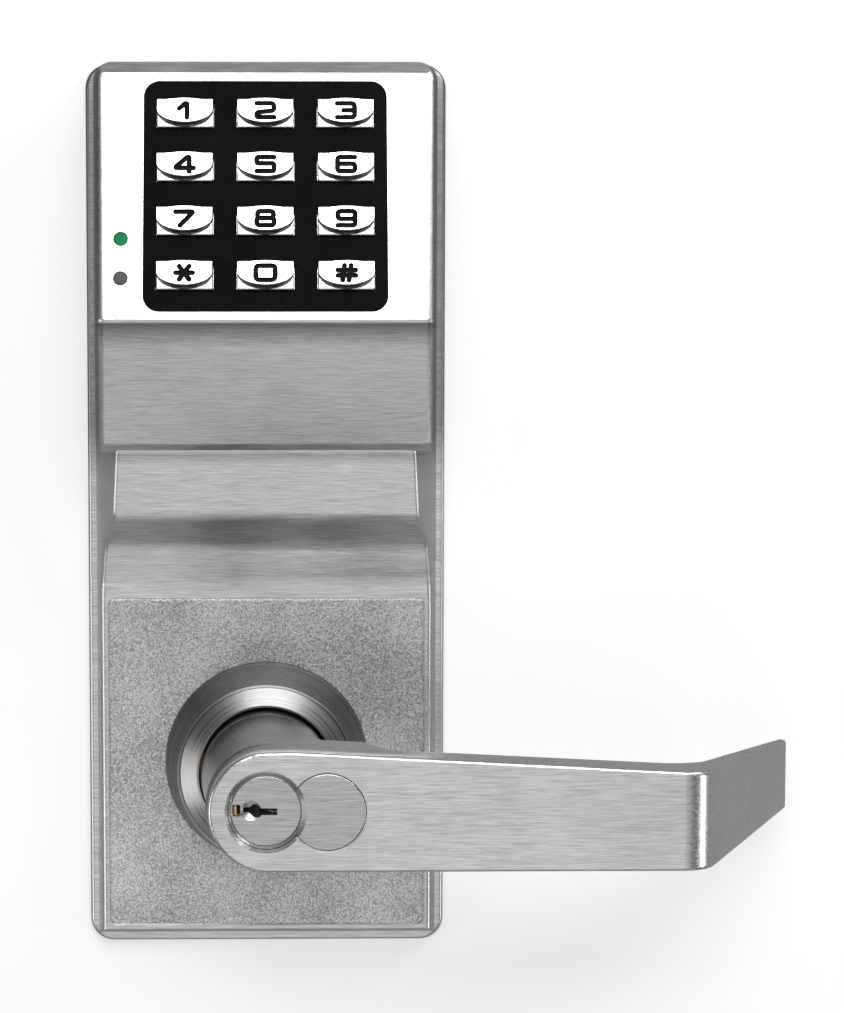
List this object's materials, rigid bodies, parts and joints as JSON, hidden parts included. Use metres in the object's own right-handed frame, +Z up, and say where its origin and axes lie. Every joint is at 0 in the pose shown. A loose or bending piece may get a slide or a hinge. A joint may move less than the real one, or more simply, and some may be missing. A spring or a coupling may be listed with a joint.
{
  "type": "keypad lever lock",
  "caption": "Exterior half of an electronic door lock: tall cast housing with a sloped numeric keypad, a tapered collar and a return lever with a figure-eight key core.",
  "frame": {"origin": "on the lever's axis, in the plane of the door's face", "axes": "+Z up, +Y into the door, +X towards the lever's tip"},
  "size_m": [0.1489, 0.1, 0.188],
  "materials": {
    "satin_housing": "satin",
    "satin_collar": "satin",
    "satin_lever": "satin",
    "core_metal": "satin",
    "key_metal": "satin",
    "plated_steel": "zinc plated",
    "spring_steel": "plain",
    "motor_can": "plain",
    "zinc_chassis": "cast zinc",
    "brass": "satin",
    "bronze": "sintered",
    "black_plastic": "fine texture",
    "black_moulding": "moulded",
    "white_moulding": "moulded",
    "board_green": "solder mask",
    "led_white": "moulded",
    "green_lens": "moulded",
    "dark_lens": "moulded",
    "black_rubber": "moulded",
    "grey_rubber": "moulded"
  },
  "bodies": {
    "root": {"front_housing": "satin_housing", "door_gasket": "black_rubber", "rear_plate": "plated_steel", "rear_plate_screws": "plated_steel", "through_bolt_posts": "plated_steel", "upper_bolt_post": "plated_steel", "cable_grommet": "black_rubber", "chassis_barrel": "zinc_chassis", "return_spring": "spring_steel", "rose_collar": "satin_collar", "collar_nut": "plated_steel", "lever_bushing": "bronze", "gear_motor": "motor_can", "motor_bracket": "plated_steel", "motor_bracket_screws": "plated_steel", "keypad_bezel": "black_plastic", "keypad_membrane": "grey_rubber", "keypad_board": "board_green", "keypad_board_screws": "plated_steel", "status_light_upper": "green_lens", "status_light_lower": "dark_lens", "status_leds": "led_white", "buzzer": "black_moulding", "harness_socket": "white_moulding"},
    "lever": {"lever": "satin_lever", "lever_snap_ring": "plated_steel", "spring_cam": "zinc_chassis", "core_shell": "core_metal", "core_driver_pins": "brass", "core_pin_springs": "spring_steel", "core_chamber_caps": "brass"},
    "core_plug": {"core_plug": "core_metal", "core_key_pins": "brass", "core_throw_member": "core_metal"},
    "control_sleeve": {"core_control_sleeve": "core_metal"},
    "spindle": {"spindle": "zinc_chassis", "spindle_snap_ring": "plated_steel"},
    "motor_screw": {"lead_screw": "plated_steel"},
    "locking_slide": {"locking_slide": "plated_steel"},
    "clutch_pin": {"clutch_pin": "plated_steel"},
    "key_1": {"key_1": "key_metal"},
    "key_2": {"key_2": "key_metal"},
    "key_3": {"key_3": "key_metal"},
    "key_4": {"key_4": "key_metal"},
    "key_5": {"key_5": "key_metal"},
    "key_6": {"key_6": "key_metal"},
    "key_7": {"key_7": "key_metal"},
    "key_8": {"key_8": "key_metal"},
    "key_9": {"key_9": "key_metal"},
    "key_star": {"key_star": "key_metal"},
    "key_0": {"key_0": "key_metal"},
    "key_hash": {"key_hash": "key_metal"}
  },
  "joints": [
    {"name": "key_1_press", "type": "slide", "parent": "root", "child": "key_1", "axis": [0, 0.9729, -0.2311], "range_m": [0, 0.0009], "stiffness_N_per_m": 700, "springref_m": -0.001},
    {"name": "key_2_press", "type": "slide", "parent": "root", "child": "key_2", "axis": [0, 0.9729, -0.2311], "range_m": [0, 0.0009], "stiffness_N_per_m": 700, "springref_m": -0.001},
    {"name": "key_3_press", "type": "slide", "parent": "root", "child": "key_3", "axis": [0, 0.9729, -0.2311], "range_m": [0, 0.0009], "stiffness_N_per_m": 700, "springref_m": -0.001},
    {"name": "key_4_press", "type": "slide", "parent": "root", "child": "key_4", "axis": [0, 0.9729, -0.2311], "range_m": [0, 0.0009], "stiffness_N_per_m": 700, "springref_m": -0.001},
    {"name": "key_5_press", "type": "slide", "parent": "root", "child": "key_5", "axis": [0, 0.9729, -0.2311], "range_m": [0, 0.0009], "stiffness_N_per_m": 700, "springref_m": -0.001},
    {"name": "key_6_press", "type": "slide", "parent": "root", "child": "key_6", "axis": [0, 0.9729, -0.2311], "range_m": [0, 0.0009], "stiffness_N_per_m": 700, "springref_m": -0.001},
    {"name": "key_7_press", "type": "slide", "parent": "root", "child": "key_7", "axis": [0, 0.9729, -0.2311], "range_m": [0, 0.0009], "stiffness_N_per_m": 700, "springref_m": -0.001},
    {"name": "key_8_press", "type": "slide", "parent": "root", "child": "key_8", "axis": [0, 0.9729, -0.2311], "range_m": [0, 0.0009], "stiffness_N_per_m": 700, "springref_m": -0.001},
    {"name": "key_9_press", "type": "slide", "parent": "root", "child": "key_9", "axis": [0, 0.9729, -0.2311], "range_m": [0, 0.0009], "stiffness_N_per_m": 700, "springref_m": -0.001},
    {"name": "key_star_press", "type": "slide", "parent": "root", "child": "key_star", "axis": [0, 0.9729, -0.2311], "range_m": [0, 0.0009], "stiffness_N_per_m": 700, "springref_m": -0.001},
    {"name": "key_0_press", "type": "slide", "parent": "root", "child": "key_0", "axis": [0, 0.9729, -0.2311], "range_m": [0, 0.0009], "stiffness_N_per_m": 700, "springref_m": -0.001},
    {"name": "key_hash_press", "type": "slide", "parent": "root", "child": "key_hash", "axis": [0, 0.9729, -0.2311], "range_m": [0, 0.0009], "stiffness_N_per_m": 700, "springref_m": -0.001},
    {"name": "lever_turn", "type": "hinge", "parent": "root", "child": "lever", "pos_m": [0, 0, 0], "axis": [0, 1, 0], "range_deg": [-45, 45], "stiffness_Nm_per_rad": 2.5, "springref_deg": -2.29},
    {"name": "core_plug_turn", "type": "hinge", "parent": "lever", "child": "core_plug", "pos_m": [0, -0.05, 0], "axis": [0, 1, 0], "range_deg": [-90, 90]},
    {"name": "control_sleeve_turn", "type": "hinge", "parent": "lever", "child": "control_sleeve", "pos_m": [0, -0.05, 0], "axis": [0, 1, 0], "range_deg": [0, 15]},
    {"name": "spindle_turn", "type": "hinge", "parent": "root", "child": "spindle", "pos_m": [0, 0.02, 0], "axis": [0, 1, 0], "range_deg": [-45, 45]},
    {"name": "lead_screw_turn", "type": "hinge", "parent": "root", "child": "motor_screw", "pos_m": [0, -0.0072, 0.058], "axis": [0, 0, 1], "range_deg": [0, 312.5]},
    {"name": "locking_slide_travel", "type": "slide", "parent": "root", "child": "locking_slide", "axis": [0, 0, -1], "range_m": [0, 0.0013]},
    {"name": "clutch_pin_travel", "type": "slide", "parent": "lever", "child": "clutch_pin", "axis": [0, 0, -1], "range_m": [0, 0.00131]}
  ],
  "couplings": [
    {"joint": "lead_screw_turn", "follows": "locking_slide_travel", "rad_per_m": 4188.8},
    {"joint": "clutch_pin_travel", "follows": "locking_slide_travel", "ratio": 1}
  ]
}
